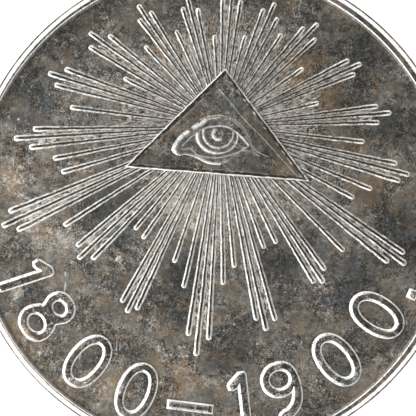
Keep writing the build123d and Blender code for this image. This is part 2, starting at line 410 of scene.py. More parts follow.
class MedalFinish(bpy.types.PropertyGroup):
    """Colours and textures of the tarnished silver."""

    # The rubbed silver is both rubbed wear and the painted highlight on every slope.
    bright: colour("Rubbed silver and painted highlight", "Edges and slopes that are rubbed bright", (0.95, 0.93, 0.9))
    black: colour("Black tarnish", "The deepest tarnish and the dirt in hollows", (0.035, 0.035, 0.033))
    slate: colour("Slate tarnish", "The dark grey of most of the field", (0.128, 0.12, 0.106))
    grey: colour("Grey tarnish", "The flats where the tarnish is thin", (0.255, 0.24, 0.212))
    pale: colour("Pale tarnish", "The flats where there is least tarnish", (0.6, 0.56, 0.51))
    deep: colour("Deep lines", "The darkest lines along the rim and the border", (0.026, 0.023, 0.02))
    dirt: colour("Dirt", "What fills the hollows along the relief", (0.055, 0.045, 0.034))
    brown: colour("Brown tarnish", "Warm patches and the ground round the relief", (0.35, 0.245, 0.15))
    blue: colour("Blue tarnish", "Cold dark patches", (0.068, 0.083, 0.094))
    drift: length("Drift", "Size of the broadest clouds of tarnish", 4.5)
    patch: length("Patch", "Size of the patches in the clouds", 1.3)
    speck: length("Speck", "Size of the specks in the patches", 0.3)
    grain: length("Grain", "Size of the finest mottling", 0.08)
    warm_patch: length("Warm patch", "Size of the brown patches", 0.9)
    cold_patch: length("Cold patch", "Size of the blue patches", 0.8)
    busy_patch: length("Busy patch", "Size of the patches with the most grain and veins", 1.5)
    hollow: length("Hollow", "How far from the relief's foot dirt gathers", 0.13)
    pits: length("Pits", "Depth of the finest pits", 0.015)
    flat_roughness: share("Flat roughness", "Roughness of the tarnished flats", 0.46)
    bright_roughness: share("Bright roughness", "Roughness of the rubbed slopes", 0.3)


class MedalStage(bpy.types.PropertyGroup):
    """The camera, the floor and the light."""

    view_width: length("View width", "Width of the medal's face that the camera takes in", 23.47)
    view_x: length("View X", "Where the camera looks along X", -0.361)
    view_y: length("View Y", "Where the camera looks along Y", -2.231)
    turn: degrees("Turn", "How far the camera is turned about its own line of sight", 4.4)
    lens: FloatProperty(name="Lens", description="Focal length in millimetres", default=100.0, min=1.0)
    floor_size: FloatProperty(name="Floor size", description="Side of the floor", default=4.0, unit="LENGTH")
    horizon_left: number("Left light", "Brightness of the studio near the horizon on the left", 2.0)
    horizon_right: number("Right light", "Brightness of the studio near the horizon on the right", 1.8)
    tilt: number("Tilt", "How much higher the studio is bright on the left than on the right", 0.35)
    zenith: number("Zenith light", "Brightness of the studio overhead", 0.125)
    side_light: FloatProperty(
        name="Side light", description="Power of the soft light on the left", default=0.2, unit="POWER"
    )


def leave_edit_mode():
    """Go back to object mode with nothing selected."""
    if bpy.context.object and bpy.context.object.mode != "OBJECT":
        bpy.ops.object.mode_set(mode="OBJECT")
    bpy.ops.object.select_all(action="DESELECT")


def only(piece):
    """Make one object the selected and active one."""
    leave_edit_mode()
    piece.select_set(True)
    bpy.context.view_layer.objects.active = piece


def add_object(primitive, location=(0.0, 0.0, 0.0), **settings):
    """Add a plain object to start from."""
    leave_edit_mode()
    primitive(location=location, **settings)
    return bpy.context.object


def edit(piece):
    """Start to shape one object in edit mode with nothing selected."""
    only(piece)
    bpy.ops.object.mode_set(mode="EDIT")
    bpy.ops.mesh.select_all(action="DESELECT")


def apply_place():
    """Settle the active object's place in its mesh."""
    bpy.ops.object.transform_apply(location=True, rotation=True, scale=True)


def face_outwards():
    """In edit mode, turn every face of a closed mesh outwards."""
    bpy.ops.mesh.select_all(action="SELECT")
    bpy.ops.mesh.normals_make_consistent(inside=False)


def move(x=0.0, y=0.0, z=0.0):
    """In edit mode, move what is selected."""
    bpy.ops.transform.translate(value=(x, y, z))


def stretch(x, y, about=(0.0, 0.0, 0.0)):
    """In edit mode, widen or narrow what is selected about a point."""
    bpy.ops.transform.resize(value=(x, y, 1.0), center_override=about)


def turned(direction):
    """A turn about the upright by an angle in degrees."""
    return Matrix.Rotation(math.radians(direction), 4, "Z")


def pick(piece, kind, wanted=lambda part: True):
    """In edit mode, select just the vertices, edges or faces that a test picks out, or all of them."""
    bpy.ops.mesh.select_mode(type=kind)
    bpy.ops.mesh.select_all(action="DESELECT")
    mesh = bmesh.from_edit_mesh(piece.data)
    parts = {"VERT": mesh.verts, "EDGE": mesh.edges, "FACE": mesh.faces}[kind]
    for part in parts:
        if wanted(part):
            part.select_set(True)
    mesh.select_flush_mode()
    bmesh.update_edit_mesh(piece.data)


def join(pieces):
    """Join several objects to one."""
    leave_edit_mode()
    for piece in pieces:
        piece.select_set(True)
    bpy.context.view_layer.objects.active = pieces[0]
    bpy.ops.object.join()
    return bpy.context.object


def copy_to(piece, place):
    """A copy of an object with its own mesh, moved to a place."""
    twin = piece.copy()
    twin.data = piece.data.copy()
    twin.data.transform(place)
    bpy.context.collection.objects.link(twin)
    return twin


def discard(piece):
    """Take away the pattern that copies were made from."""
    bpy.data.objects.remove(piece, do_unlink=True)


def hand_over(piece, name, finish, smooth_below=35.0):
    """Name a piece, settle its place, paint it, give it its finish and let it stand for the medal."""
    piece.name = piece.data.name = name
    only(piece)
    apply_place()
    bpy.ops.object.shade_smooth_by_angle(angle=math.radians(smooth_below))
    paint(bpy.context.scene, piece)
    piece.data.materials.clear()
    piece.data.materials.append(finish)
    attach(piece, "root")
    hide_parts("medal")


def stray(piece, amount, size):
    """Move each point of a mesh a little along the face of the medal, as a hand-cut die has it."""
    noise.seed_set(WOBBLE_SEED)
    for corner in piece.data.vertices:
        offset = noise.noise_vector(corner.co / size) * amount
        corner.co.x += offset.x
        corner.co.y += offset.y


def smooth_line(points, steps=10):
    """A smooth line through charted points, as many short runs."""
    charted = np.array(points, float)
    before = np.vstack([2 * charted[0] - charted[1], charted[:-2]])
    after = np.vstack([charted[2:], 2 * charted[-1] - charted[-2]])
    line = []
    for first, start, end, last in zip(before, charted[:-1], charted[1:], after):
        for step in range(steps):
            t = step / steps
            even = 2 * start + (end - first) * t
            bend = (2 * first - 5 * start + 4 * end - last) * t**2
            twist = (3 * start - first - 3 * end + last) * t**3
            line.append((even + (bend + twist)) / 2)
    line.append(charted[-1])
    return np.array(line)


def away_from(points, line):
    """How far each point is from a line of short runs."""
    nearest = np.full(len(points), np.inf)
    for start, end in zip(line[:-1], line[1:]):
        run = end - start
        along = np.clip((points - start) @ run / (run @ run), 0.0, 1.0)
        nearest = np.minimum(nearest, np.hypot(*(points - start - along[:, None] * run).T))
    return nearest


def depth_inside(points, outline):
    """How far each point is inside a closed outline, or less than nothing outside it."""
    closed = np.vstack([outline, outline[:1]])
    within = np.zeros(len(points), bool)
    for (x1, y1), (x2, y2) in zip(closed[:-1], closed[1:]):
        crosses = (y1 > points[:, 1]) != (y2 > points[:, 1])
        slant = (x2 - x1) / (y2 - y1) if y2 != y1 else 0.0
        within ^= crosses & (points[:, 0] < x1 + (points[:, 1] - y1) * slant)
    return np.where(within, 1.0, -1.0) * away_from(points, closed)


def rise(value, low, high):
    """A smooth rise from 0 to 1 while a value goes from low to high."""
    t = np.clip((value - low) / (high - low), 0.0, 1.0)
    return t * t * (3 - 2 * t)


def in_band(reach, band):
    """1 inside a band, with a straight rise before it and a straight fall after it."""
    return np.interp(reach, band, (0.0, 1.0, 1.0, 0.0))


def crest(away, width):
    """A rounded crest whose height is 1 on its line."""
    return np.exp(-((away / width) ** 2))


def ridge(points, width, height, base):
    """A low rounded ridge along points in millimetres from the disc's middle, standing on a level."""
    drawn = add_object(bpy.ops.curve.primitive_bezier_circle_add, radius=MM)
    drawn.data.dimensions = "3D"
    drawn.data.splines.clear()
    spline = drawn.data.splines.new("POLY")
    spline.points.add(len(points) - 1)
    middle_y = bpy.context.scene.medal_disc.middle_y
    for knot, (across, up) in zip(spline.points, points):
        knot.co = (across * MM, up * MM + middle_y, 0.0, 1.0)
    drawn.data.bevel_depth = width / 2
    drawn.data.bevel_resolution = 1
    drawn.data.use_fill_caps = True
    only(drawn)
    bpy.ops.object.convert(target="MESH")
    shape = bpy.context.object
    flatten = Matrix.Diagonal((1.0, 1.0, 2 * height / width, 1.0))
    shape.data.transform(Matrix.Translation((0.0, 0.0, base)) @ flatten)
    return shape


def places_of(piece):
    """The places of a mesh's points in metres, one row each."""
    places = np.empty(len(piece.data.vertices) * 3)
    piece.data.vertices.foreach_get("co", places)
    return places.reshape(-1, 3)


def set_places(piece, places):
    """Move a mesh's points to their places."""
    piece.data.vertices.foreach_set("co", places.ravel())


def mottle(places, size):
    """Soft noise at each place, whose features have a size."""
    return np.array([noise.noise(Vector(place) / size) for place in places])


def add_values(piece, name, values):
    """Paint a value on each of a mesh's points."""
    layer = piece.data.attributes.new(name, "FLOAT", "POINT")
    layer.data.foreach_set("value", np.asarray(values, np.float32))


def paint(scene, piece):
    """Paint where a piece is pale or dark and brown or blue, and how close to the triangle it is; the pale
    and dark patches are tarnish and partly painted light.
    """
    points = (places_of(piece)[:, :2] - (0.0, scene.medal_disc.middle_y)) / MM
    pale = np.zeros(len(points))
    tint = np.zeros(len(points))
    for across, up, radius, paler, browner in PATCHES:
        near = np.exp(-(((points - (across, up)) ** 2).sum(axis=1)) / radius**2)
        pale += paler * near
        tint += browner * near
    add_values(piece, "pale", pale)
    add_values(piece, "tint", tint)
    reach = np.hypot(points[:, 0], points[:, 1] - scene.medal_glory.rise / MM)
    add_values(piece, "ground", 1.0 - rise(reach, 3.5, 7.5))


def field_height(disc):
    """The height of the flat field over the floor."""
    return disc.thickness - disc.rim_height


def glory_middle(scene):
    """The point that all rays come from, at the height of the field."""
    return Vector((0.0, scene.medal_disc.middle_y + scene.medal_glory.rise, field_height(scene.medal_disc)))


def near_tip(away, reach):
    """How far a point of a ray is in its raised, shiny end, from 0 before it to 1 at the tip."""
    return rise(away, reach - 0.7 * MM, reach - 0.3 * MM)


def ray_reach(scene, direction, reach):
    """How far a ray runs from the middle of the glory: its own reach, or less where the rim is nearer."""
    glory = scene.medal_glory
    room = scene.medal_disc.rim_foot - glory.clearance
    across = glory.rise * math.cos(math.radians(direction))
    up = glory.rise * math.sin(math.radians(direction))
    return min(reach * glory.longest, math.sqrt(room**2 - across**2) - up)


def all_rays(scene):
    """Direction in degrees and length of every ray."""
    charted = list(SINGLES)
    for direction, to_right, to_left, right, middle, left in BEAMS:
        charted += [(direction - to_right, right), (direction, middle), (direction + to_left, left)]
    return [(direction, ray_reach(scene, direction, reach)) for direction, reach in charted]


def add_node(tree, kind, **settings):
    """A shader node with some of its own settings made."""
    made = tree.nodes.new(kind)
    for name, value in settings.items():
        setattr(made, name, value)
    return made


def cloud(place, size, detail=4.0, roughness=0.6, distortion=0.0):
    """Soft noise whose features have a size in metres."""
    tree = place.id_data
    made = add_node(tree, "ShaderNodeTexNoise")
    made.inputs["Scale"].default_value = 1.0 / size
    made.inputs["Detail"].default_value = detail
    made.inputs["Roughness"].default_value = roughness
    made.inputs["Distortion"].default_value = distortion
    tree.links.new(place, made.inputs["Vector"])
    return made.outputs["Fac"]


def between(value, low, high, to_low=0.0, to_high=1.0):
    """A value spread smoothly from one range to another and kept inside it."""
    tree = value.id_data
    made = add_node(tree, "ShaderNodeMapRange", interpolation_type="SMOOTHSTEP")
    tree.links.new(value, made.inputs["Value"])
    for name, number_in in (("From Min", low), ("From Max", high), ("To Min", to_low), ("To Max", to_high)):
        made.inputs[name].default_value = number_in
    return made.outputs["Result"]


def sums(first, second, operation="ADD"):
    """Two values added, or put together in another way; the second may be a plain number."""
    tree = first.id_data
    made = add_node(tree, "ShaderNodeMath", operation=operation)
    tree.links.new(first, made.inputs[0])
    if isinstance(second, float):
        made.inputs[1].default_value = second
    else:
        tree.links.new(second, made.inputs[1])
    return made.outputs["Value"]


def times(first, second):
    """Two values multiplied; the second may be a plain number."""
    return sums(first, second, "MULTIPLY")


def total(first, *others):
    """Several values added up in turn."""
    for other in others:
        first = sums(first, other)
    return first


def blend_colours(amount, below, above):
    """One colour laid over another; each may be a socket or a plain colour."""
    tree = amount.id_data
    made = add_node(tree, "ShaderNodeMix", data_type="RGBA")
    tree.links.new(amount, made.inputs["Factor"])
    for socket, value in ((made.inputs[6], below), (made.inputs[7], above)):
        if isinstance(value, bpy.types.NodeSocket):
            tree.links.new(value, socket)
        else:
            socket.default_value = (*value, 1.0)
    return made.outputs[2]


def own_value(tree, name):
    """A value that is painted on the piece's own points."""
    return add_node(tree, "ShaderNodeAttribute", attribute_name=name).outputs["Fac"]


def tarnish_ramp(value, finish):
    """Colours of the tarnish from its deepest, nearly black, to thin and pale."""
    tree = value.id_data
    made = add_node(tree, "ShaderNodeValToRGB")
    ramp = made.color_ramp
    stops = (
        (0.16, finish.black),
        (0.42, finish.slate),
        (0.62, finish.grey),
        (0.92, finish.pale),
    )
    while len(ramp.elements) < len(stops):
        ramp.elements.new(0.5)
    for element, (place, tone) in zip(ramp.elements, stops):
        element.position = place
        element.color = (*tone, 1.0)
    tree.links.new(value, made.inputs["Fac"])
    return made.outputs["Color"]


def streaks(place, scene):
    """Noise drawn out in fine streaks that run from the middle of the glory."""
    tree = place.id_data
    shifted = add_node(tree, "ShaderNodeVectorMath", operation="SUBTRACT")
    tree.links.new(place, shifted.inputs[0])
    shifted.inputs[1].default_value = glory_middle(scene)
    split = add_node(tree, "ShaderNodeSeparateXYZ")
    tree.links.new(shifted.outputs["Vector"], split.inputs["Vector"])
    downward = times(split.outputs["Y"], -1.0)
    angle = sums(split.outputs["X"], downward, "ARCTAN2")
    reach = add_node(tree, "ShaderNodeVectorMath", operation="LENGTH")
    tree.links.new(shifted.outputs["Vector"], reach.inputs[0])
    joined = add_node(tree, "ShaderNodeCombineXYZ")
    to_radian = 105.0
    to_metre = 3000.0
    tree.links.new(times(angle, to_radian), joined.inputs["X"])
    tree.links.new(times(reach.outputs["Value"], to_metre), joined.inputs["Y"])
    return cloud(joined.outputs["Vector"], 1.0, 2.0, 0.7)


def silver(
    name, scene, thin=0.0, rub_and_highlight=1.0, right_shade_above=0.0, steep=0.88, ground=0.0, flecks=0.0, bare=0.0, deep=0.9
):
    """Tarnished silver: mottled dark on the level, rubbed bright and painted with a highlight on every
    slope.

    thin: how much thinner the tarnish is than on the field. rub_and_highlight: how bright its slopes are,
    from rubbed wear and a painted highlight.
    right_shade_above: the height over the floor above which slopes to the right stay dark, a painted shade
    on the side away from the light, if there is one.
    steep: how upright the normal is where a slope gets its rubbed wear and painted highlight in full.
    ground: how much of the pale, streaked ground round the triangle shows.
    flecks: how strongly dark and pale flecks cover it.
    bare: how much of its level faces is rubbed bright in specks.
    deep: how dark its dull level faces are.
    """
    finish = scene.medal_finish
    material = bpy.data.materials.new(name)
    material.use_nodes = True
    tree = material.node_tree
    shader = tree.nodes["Principled BSDF"]
    place = add_node(tree, "ShaderNodeTexCoord").outputs["Object"]

    drift = between(cloud(place, finish.drift, 4.0, 0.6, 0.6), *CLOUD_RANGE)
    patch = between(cloud(place, finish.patch, 8.0, 0.78, 0.3), *CLOUD_RANGE)
    specks = between(cloud(place, finish.speck, 5.0, 0.85), *CLOUD_RANGE)
    fine = between(cloud(place, finish.grain, 2.0, 0.8), 0.32, 0.68)
    tint = own_value(tree, "tint")
    warm = sums(cloud(place, finish.warm_patch, 7.0, 0.88, 0.3), times(tint, 0.12))
    cold = sums(cloud(place, finish.cold_patch, 7.0, 0.88, 0.3), times(tint, -0.13))

    busy = between(cloud(place, finish.busy_patch, 4.0, 0.6, 0.5), 0.4, 0.6, 0.4, 1.3)
    grain = total(times(specks, 0.4), times(fine, 0.4), -0.4)
    away = sums(sums(cloud(place, finish.speck, 3.0, 0.7, 1.6), -0.5), 0.0, "ABSOLUTE")
    veins = times(between(away, 0.0, 0.05, -0.3, 0.0), between(busy, 0.6, 1.2))
    clouds = total(times(drift, 0.18), times(patch, 0.24), times(grain, busy), veins)
    # The painted pale patches are tarnish and partly painted light, paler to the lower left.
    depth = total(clouds, thin + 0.22, times(own_value(tree, "pale"), 0.45))
    if ground:
        streaked = between(streaks(place, scene), 0.38, 0.62, -0.35 * ground, 0.75 * ground)
        depth = sums(depth, times(streaked, own_value(tree, "ground")))
    if flecks:
        depth = sums(depth, between(streaks(place, scene), 0.38, 0.6, -flecks, flecks))
    level = tarnish_ramp(depth, finish)
    brown = blend_colours(depth, finish.black, finish.brown)
    level = blend_colours(between(warm, 0.5, 0.6, 0.0, 0.85), level, brown)
    level = blend_colours(between(cold, 0.53, 0.62, 0.0, 0.75), level, finish.blue)
    hollow = add_node(tree, "ShaderNodeAmbientOcclusion", samples=6)
    hollow.inputs["Distance"].default_value = finish.hollow
    dirt = between(hollow.outputs["AO"], 0.5, 0.92, 0.7, 0.0)
    level = blend_colours(dirt, level, finish.dirt)
    dull = own_value(tree, "dull")
    level = blend_colours(times(dull, deep), level, finish.deep)

    # Every slope, found by its normal, gets rubbed wear and a painted highlight in the bright silver colour.
    facing = add_node(tree, "ShaderNodeSeparateXYZ")
    tree.links.new(add_node(tree, "ShaderNodeNewGeometry").outputs["Normal"], facing.inputs["Vector"])
    upright = sums(facing.outputs["Z"], 0.0, "ABSOLUTE")
    slope = times(between(upright, 1.0 - (1.0 - steep) / 12.0, steep), rub_and_highlight)
    # Painted shade: above that height, slopes facing right lose their highlight, as on the side away from
    # the light.
    if right_shade_above:
        height = add_node(tree, "ShaderNodeSeparateXYZ")
        tree.links.new(place, height.inputs["Vector"])
        blur = 0.015 * MM
        low = between(height.outputs["Z"], right_shade_above - blur, right_shade_above + blur, 1.0, 0.0)
        to_left = between(facing.outputs["X"], -0.12, 0.08, 1.0, 0.0)
        slope = times(slope, sums(to_left, low, "MAXIMUM"))
    # Rubbed wear and painted highlights that a piece carries on its own points.
    slope = sums(slope, own_value(tree, "wear_and_highlight"), "MAXIMUM")
    if bare:
        slope = sums(slope, between(depth, 0.35, 0.75, 0.0, bare), "MAXIMUM")
    slope = times(slope, between(dull, 0.0, 1.0, 1.0, 0.0))
    nicks = sums(times(fine, 0.5), times(specks, 0.5))
    # The mask of rubbed wear and painted highlight, nicked in spots.
    rubbed_and_highlit = times(slope, between(nicks, 0.15, 0.4, 0.2, 1.0))
    skin = blend_colours(rubbed_and_highlit, level, finish.bright)
    tree.links.new(skin, shader.inputs["Base Color"])

    gloss = between(rubbed_and_highlit, 0.0, 1.0, finish.flat_roughness, finish.bright_roughness)
    tree.links.new(gloss, shader.inputs["Roughness"])
    shader.inputs["Metallic"].default_value = 1.0

    relief = add_node(tree, "ShaderNodeBump")
    relief.inputs["Strength"].default_value = 0.6
    relief.inputs["Distance"].default_value = finish.pits
    tree.links.new(sums(fine, specks), relief.inputs["Height"])
    tree.links.new(relief.outputs["Normal"], shader.inputs["Normal"])
    return material


class AddDisc(bpy.types.Operator):
    """Model the disc with a raised rim on both sides"""

    bl_idname = "medal.add_disc"
    bl_label = "Disc"

    def execute(self, context):
        scene = context.scene
        disc = scene.medal_disc
        middle = (0.0, disc.middle_y, 0.0)
        top = disc.thickness
        field = field_height(disc)
        back_inner = disc.diameter / 2 - disc.back_rim_width
        innermost = 0.3 * MM
        wall = RIM[0][0] * MM
        rounding = 0.2 * MM
        profile = [
            (back_inner - 0.1 * MM, disc.back_rim_height),
            (back_inner, 0.0),
            (wall - rounding, 0.0),
            (wall - 0.3 * rounding, 0.3 * rounding),
            (wall, rounding),
        ]
        profile += [(reach * MM, top - under * MM) for reach, under in RIM]
        body = add_object(
            bpy.ops.mesh.primitive_circle_add,
            (0.0, disc.middle_y, disc.back_rim_height),
            vertices=disc.segments,
            radius=innermost,
        )
        edit(body)
        bpy.ops.mesh.select_all(action="SELECT")
        bpy.ops.mesh.edge_face_add()
        pick(body, "EDGE")
        radius, height = innermost, disc.back_rim_height
        for next_radius, next_height in profile:
            bpy.ops.mesh.extrude_edges_move(
                TRANSFORM_OT_translate={"value": (0.0, 0.0, next_height - height)}
            )
            ratio = next_radius / radius
            stretch(ratio, ratio, middle)
            radius, height = next_radius, next_height
        bpy.ops.mesh.extrude_edges_move(TRANSFORM_OT_translate={"value": (0.0, 0.0, 0.0)})
        ratio = innermost / radius
        stretch(ratio, ratio, middle)
        bpy.ops.mesh.edge_face_add()

        def crosses_field(edge):
            radii = [math.hypot(corner.co.x, corner.co.y) for corner in edge.verts]
            upper = min(corner.co.z for corner in edge.verts) > field - disc.back_rim_height - MICRON
            return upper and abs(radii[0] - radii[1]) > MM

        pick(body, "EDGE", crosses_field)
        bpy.ops.mesh.subdivide(number_cuts=disc.rings)
        face_outwards()
        only(body)
        apply_place()
        places = places_of(body)
        reach = np.hypot(places[:, 0], places[:, 1] - disc.middle_y)
        self.shade_rim(body, places, reach, disc)
        for corner, away in zip(body.data.vertices, reach):
            if abs(corner.co.z - field) < MICRON and away < disc.rim_foot - 0.2 * MM:
                corner.co.z += (noise.noise(corner.co / (2.5 * MM)) - 0.5) * disc.wave
        hand_over(body, "disc_body", silver("silver_field", scene, ground=1.0, deep=0.45))
        return {"FINISHED"}

    def shade_rim(self, body, places, reach, disc):
        """Dull the disc's side and a line round the rim, and set the rim's inner edge off the middle."""
        way = disc.rim_shift_way
        uneven = mottle(places, 1.3 * MM)
        line = in_band(reach / MM, RIM_LINE) * np.clip(0.88 + 0.3 * uneven, 0.76, 0.94)
        upper = places[:, 2] > disc.thickness - 0.45 * MM
        side = (0.78 + 0.12 * uneven) * (reach > 13.9 * MM)
        add_values(body, "dull", np.where(upper, line, side))
        shift = in_band(reach / MM, RIM_INNER_EDGE)
        shift *= disc.rim_shift * (places[:, 2] > field_height(disc) - MICRON)
        places[:, 0] += shift * math.cos(way)
        places[:, 1] += shift * math.sin(way)
        set_places(body, places)


class AddEyelet(bpy.types.Operator):
    """Model the plain round eyelet at the top of the disc"""

    bl_idname = "medal.add_eyelet"
    bl_label = "Eyelet"

    def execute(self, context):
        scene = context.scene
        disc = scene.medal_disc
        depth = disc.thickness - 2 * disc.eyelet_inset
        wall = (disc.eyelet_diameter - disc.eyelet_hole) / 2
        eyelet = add_object(
            bpy.ops.mesh.primitive_circle_add,
            (0.0, disc.eyelet_y, disc.eyelet_inset),
            vertices=96,
            radius=disc.eyelet_diameter / 2 - disc.skin,
            fill_type="NGON",
        )
        edit(eyelet)
        pick(eyelet, "FACE")
        bpy.ops.mesh.inset(thickness=wall)
        bpy.ops.mesh.delete(type="FACE")
        pick(eyelet, "FACE")
        bpy.ops.mesh.extrude_region_move(TRANSFORM_OT_translate={"value": (0.0, 0.0, depth)})
        face_outwards()
        only(eyelet)
        rounding = eyelet.modifiers.new("rounding", "BEVEL")
        rounding.width = disc.eyelet_round
        rounding.segments = 4
        rounding.limit_method = "ANGLE"
        rounding.angle_limit = math.radians(60.0)
        bpy.ops.object.modifier_apply(modifier=rounding.name)
        from_middle = np.abs(places_of(eyelet)[:, 2] - depth / 2)
        add_values(eyelet, "dull", 0.75 * (from_middle < depth / 2 - 0.9 * disc.eyelet_round))
        hand_over(eyelet, "eyelet", silver("silver_eyelet", scene))
        return {"FINISHED"}


class AddGlory(bpy.types.Operator):
    """Model one ray and one bed, and copy them all round the triangle"""

    bl_idname = "medal.add_glory"
    bl_label = "Glory of rays"

    def execute(self, context):
        scene = context.scene
        centre = glory_middle(scene)
        glory = scene.medal_glory
        longest = glory.longest
        root = longest * glory.root
        tip = 1.2 * glory.width
        ray = self.model_ray(context)
        rays = []
        for direction, reach in all_rays(scene):
            breadth = 1.0 - glory.least_taper * (1.0 - reach / longest)
            twin = copy_to(ray, Matrix())
            places = places_of(twin)
            along = (root * reach / longest, reach - tip * breadth, reach)
            places[:, 0] = np.interp(places[:, 0], (root, longest - tip, longest), along)
            places[:, 1:] *= breadth
            set_places(twin, places)
            twin.data.transform(Matrix.Translation(centre) @ turned(direction))
            self.wear_ray(twin, centre, reach)
            rays.append(twin)
        discard(ray)
        joined = join(rays)
        stray(joined, glory.wobble, 0.5 * MM)
        hand_over(joined, "glory_rays", silver("silver_rays", scene, thin=-0.32, flecks=0.2, deep=0.1))

        bed = self.model_bed(context)
        beds = []
        for direction, to_right, to_left, right, _, left in BEAMS:
            for first, turn, reach in ((direction - to_right, to_right, right), (direction, to_left, left)):
                reach = ray_reach(scene, first + turn / 2, reach) * glory.bed_reach
                spread = reach * math.tan(math.radians(turn / 2))
                place = Matrix.Translation(centre) @ turned(first + turn / 2)
                beds.append(copy_to(bed, place @ Matrix.Diagonal((reach, spread, 1.0, 1.0))))
        discard(bed)
        self.add_hairs(context)
        joined = join(beds)
        stray(joined, glory.wobble, 0.4 * MM)
        hand_over(joined, "beam_beds", silver("silver_beds", scene, thin=0.22, rub_and_highlight=0.2, flecks=0.45), 50.0)
        return {"FINISHED"}

    def wear_ray(self, ray, centre, reach):
        """Leave a ray dull in spots, but for its tip, and as much as the chart says for its direction."""
        places = places_of(ray)
        away = np.hypot(places[:, 0] - centre.x, places[:, 1] - centre.y)
        direction = np.degrees(np.arctan2(places[:, 1] - centre.y, places[:, 0] - centre.x))
        usual = np.interp(direction, *zip(*RAY_DARKENING), period=360.0)
        uneven = mottle(places, 0.13 * MM)
        before_tip = 1.0 - near_tip(away, reach)
        add_values(ray, "dull", before_tip * np.clip(usual + 0.7 * uneven, 0.0, 0.8))

    def add_hairs(self, context):
        """Copy one fine, low ridge to many places between the rays near the triangle."""
        glory = context.scene.medal_glory
        hair = add_object(bpy.ops.mesh.primitive_plane_add, (0.5, 0.0, -0.01), size=1.0)
        apply_place()
        edit(hair)
        pick(hair, "FACE")
        bpy.ops.mesh.inset(thickness=0.1)
        stretch(1.2, 0.25, (0.5, 0.0, 0.0))
        move(z=1.0)
        pick(hair, "EDGE", lambda edge: edge.calc_length() > 0.7)
        bpy.ops.mesh.subdivide(number_cuts=5)
        leave_edit_mode()
        chance = np.random.default_rng(11)
        hairs = []
        for number_of in range(glory.hairs):
            direction = (number_of + chance.uniform(-0.5, 0.5)) * 360.0 / glory.hairs
            away = chance.uniform(1.6, 3.8) * MM
            run = chance.uniform(0.8, 1.8) * MM
            across = chance.uniform(0.7, 1.3) * glory.hair_width
            place = Matrix.Translation(glory_middle(context.scene)) @ turned(direction)
            size = Matrix.Diagonal((run, across, glory.hair_height, 1.0))
            hairs.append(copy_to(hair, place @ Matrix.Translation((away, 0.0, 0.0)) @ size))
        discard(hair)
        joined = join(hairs)
        stray(joined, 0.03 * MM, 0.4 * MM)
        hand_over(joined, "hair_lines", silver("silver_hairs", context.scene, thin=0.05, rub_and_highlight=0.4), 80.0)

    def model_ray(self, context):
        """The longest ray, along +X: a wedge with a rounded tip, sloped sides and a flat crest."""
        glory = context.scene.medal_glory
        half = glory.width / 2
        sunk = 0.01 * MM
        at = (glory.longest - half, 0.0, -sunk)
        ray = add_object(bpy.ops.mesh.primitive_plane_add, at, size=glory.width)
        apply_place()
        edit(ray)
        pick(ray, "VERT", lambda corner: corner.co.x < glory.longest - half)
        move(x=glory.longest * glory.root - (glory.longest - glory.width))
        stretch(1.0, glory.root_width)
        pick(ray, "VERT", lambda corner: corner.co.x > glory.longest - MICRON)
        bpy.ops.mesh.bevel(affect="VERTICES", offset=half * 0.96, segments=7)
        pick(ray, "FACE")
        bpy.ops.mesh.inset(thickness=0.01 * MM)
        stretch(1.0, glory.crest)
        move(z=glory.height + sunk)
        top = glory.height - MICRON
        pick(ray, "VERT", lambda corner: corner.co.z > top and corner.co.x > glory.longest - glory.width)
        move(x=-glory.tip_slope + half * 0.5)
        pick(ray, "EDGE", lambda edge: edge.calc_length() > glory.longest / 2)
        bpy.ops.mesh.subdivide(number_cuts=glory.cuts)
        face_outwards()
        leave_edit_mode()
        for corner in ray.data.vertices:
            if corner.co.z > 0.0:
                grown = min(1.0, corner.co.x / (glory.longest * glory.full_from))
                knob = near_tip(corner.co.x, glory.longest)
                corner.co.z *= 0.65 + 0.35 * grown + 0.5 * knob
        return ray

    def model_bed(self, context):
        """A bed one metre long with one metre to either side, whose fine ridges all run from the origin."""
        glory = context.scene.medal_glory
        heights = (-0.4, 0.5, 0.2, 0.7, 0.2, 0.5, -0.4)
        lanes = len(heights) - 1
        bed = add_object(
            bpy.ops.mesh.primitive_grid_add,
            (0.5, 0.0, 0.0),
            x_subdivisions=24,
            y_subdivisions=lanes,
            size=1.0,
        )
        apply_place()
        edit(bed)
        for lane, height in enumerate(heights):
            line = lane / lanes - 0.5
            pick(bed, "VERT", lambda corner: abs(corner.co.y - line) < 0.2 / lanes)
            move(z=height * glory.bed_height)
        leave_edit_mode()
        for corner in bed.data.vertices:
            along = corner.co.x
            corner.co.x = 0.12 + 0.88 * along
            corner.co.y *= 2.0 * corner.co.x if along > 0.001 else 0.0
            corner.co.z *= min(1.0, (1.0 - along) * 8.0) * min(1.0, along * 1.6)
        return bed


